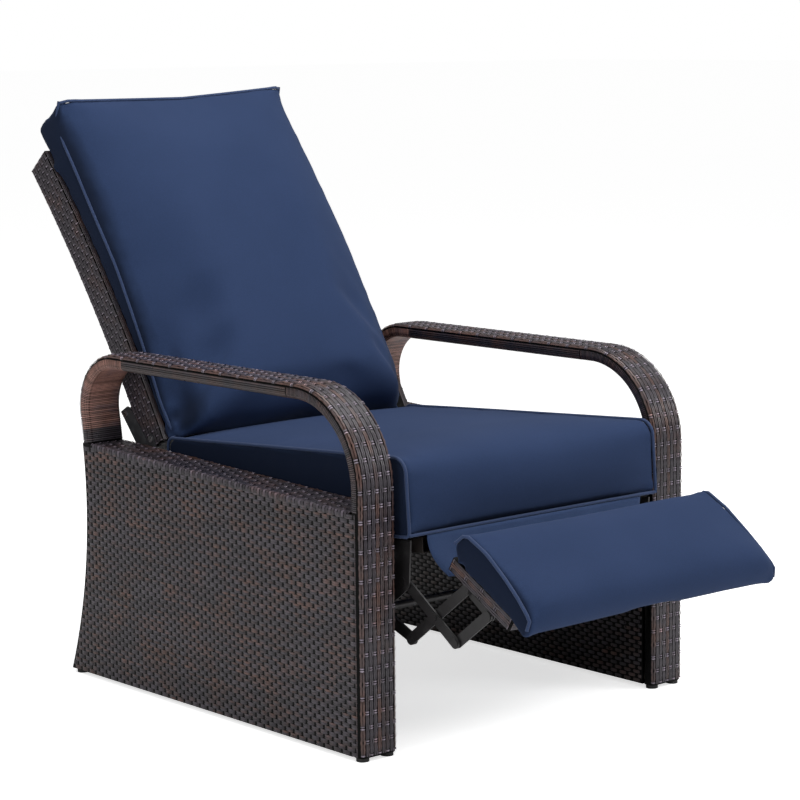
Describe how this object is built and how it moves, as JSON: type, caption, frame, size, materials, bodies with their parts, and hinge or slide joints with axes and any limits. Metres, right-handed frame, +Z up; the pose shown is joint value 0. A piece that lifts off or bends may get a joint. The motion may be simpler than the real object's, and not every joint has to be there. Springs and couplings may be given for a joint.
{
  "type": "reclining patio armchair",
  "caption": "Reclining patio armchair: woven resin over steel tube, a hinged back linked to a lifting footrest, and navy cushions on seat, back and footrest.",
  "frame": {"origin": "on the floor, under the middle of the chair's length and width", "axes": "+X runs across the chair, to the right as seen from behind; +Y points to the rear, so the footrest is at -Y; +Z points up"},
  "size_m": [0.7, 1.2519, 0.9717],
  "materials": {
    "woven_resin": "woven flat strands, dark brown with grey streaks",
    "cushion_fabric": "navy woven polyester with self piping",
    "flap_fabric": "navy cloth, single layer",
    "frame_steel": "dark powder coat",
    "link_steel": "black satin coat",
    "grey_steel": "grey satin coat",
    "bright_zinc": "bright zinc plated",
    "glide_plastic": "black moulded plastic"
  },
  "bodies": {
    "base": {"arm_tubes_left": "frame_steel", "arm_tubes_right": "frame_steel", "side_frame_left": "frame_steel", "side_frame_right": "frame_steel", "panel_rails_left": "frame_steel", "panel_rails_right": "frame_steel", "arm_wicker_left": "woven_resin", "arm_wicker_right": "woven_resin", "upright_wicker_left": "woven_resin", "upright_wicker_right": "woven_resin", "panel_wicker_left": "woven_resin", "panel_wicker_right": "woven_resin", "panel_liner_left": "woven_resin", "panel_liner_right": "woven_resin", "foot_glides": "glide_plastic", "rear_stretcher": "frame_steel", "mechanism_plate_left": "link_steel", "mechanism_plate_right": "link_steel", "hinge_plate_left": "link_steel", "hinge_plate_right": "link_steel", "mechanism_bolts": "bright_zinc", "hinge_bolts": "bright_zinc", "seat_frame": "frame_steel", "seat_deck": "woven_resin", "seat_cushion": "cushion_fabric", "seat_flap": "flap_fabric", "fixed_pivot_pins": "link_steel"},
    "back": {"back_frame": "frame_steel", "back_wicker": "woven_resin", "back_panel": "woven_resin", "back_cushion": "cushion_fabric", "back_bracket_left": "grey_steel", "back_bracket_right": "grey_steel", "back_bracket_screws": "bright_zinc"},
    "lift_link": {"lift_link_left": "link_steel", "lift_link_right": "link_steel", "lift_link_pins": "link_steel"},
    "scissor_link": {"scissor_link_left": "link_steel", "scissor_link_right": "link_steel", "scissor_rivets": "link_steel"},
    "carry_link": {"carry_link_left": "link_steel", "carry_link_right": "link_steel"},
    "footrest": {"footrest_frame": "frame_steel", "footrest_wicker": "woven_resin", "footrest_deck": "woven_resin", "footrest_cushion": "cushion_fabric", "footrest_bracket_left": "link_steel", "footrest_bracket_right": "link_steel", "footrest_pins": "link_steel", "footrest_screws": "link_steel"},
    "crank": {"crank_bar": "link_steel", "inner_crank_left": "link_steel", "inner_crank_right": "link_steel", "outer_crank_left": "link_steel", "outer_crank_right": "link_steel", "crank_rivets": "link_steel"},
    "drive_rod": {"drive_rod_left": "link_steel", "drive_rod_right": "link_steel", "drive_rod_pins": "link_steel"}
  },
  "joints": [
    {"name": "back_recline", "type": "hinge", "parent": "base", "child": "back", "pos_m": [0, 0.27825, 0.38], "axis": [-1, 0, 0], "range_deg": [-24, 12]},
    {"name": "lift_turn", "type": "hinge", "parent": "base", "child": "lift_link", "pos_m": [0, -0.33544, 0.2635], "axis": [-1, 0, 0], "range_deg": [-60, 30]},
    {"name": "scissor_turn", "type": "hinge", "parent": "lift_link", "child": "scissor_link", "pos_m": [0, -0.40032, 0.21856], "axis": [-1, 0, 0], "range_deg": [-39, 78]},
    {"name": "carry_turn", "type": "hinge", "parent": "lift_link", "child": "carry_link", "pos_m": [0, -0.44642, 0.18663], "axis": [-1, 0, 0], "range_deg": [-39, 78]},
    {"name": "footrest_turn", "type": "hinge", "parent": "scissor_link", "child": "footrest", "pos_m": [0, -0.46658, 0.27013], "axis": [-1, 0, 0], "range_deg": [-78, 39]},
    {"name": "crank_turn", "type": "hinge", "parent": "base", "child": "crank", "pos_m": [0, -0.26075, 0.206], "axis": [-1, 0, 0], "range_deg": [-53.28, 26.64]},
    {"name": "rod_turn", "type": "hinge", "parent": "back", "child": "drive_rod", "pos_m": [0, 0.26519, 0.25568], "axis": [-1, 0, 0], "range_deg": [-12, 24]}
  ],
  "couplings": [
    {"joint": "lift_turn", "follows": "back_recline", "ratio": 2.5},
    {"joint": "scissor_turn", "follows": "back_recline", "ratio": -3.25},
    {"joint": "carry_turn", "follows": "back_recline", "ratio": -3.25},
    {"joint": "footrest_turn", "follows": "back_recline", "ratio": 3.25},
    {"joint": "crank_turn", "follows": "back_recline", "ratio": 2.22},
    {"joint": "rod_turn", "follows": "back_recline", "ratio": -1}
  ]
}
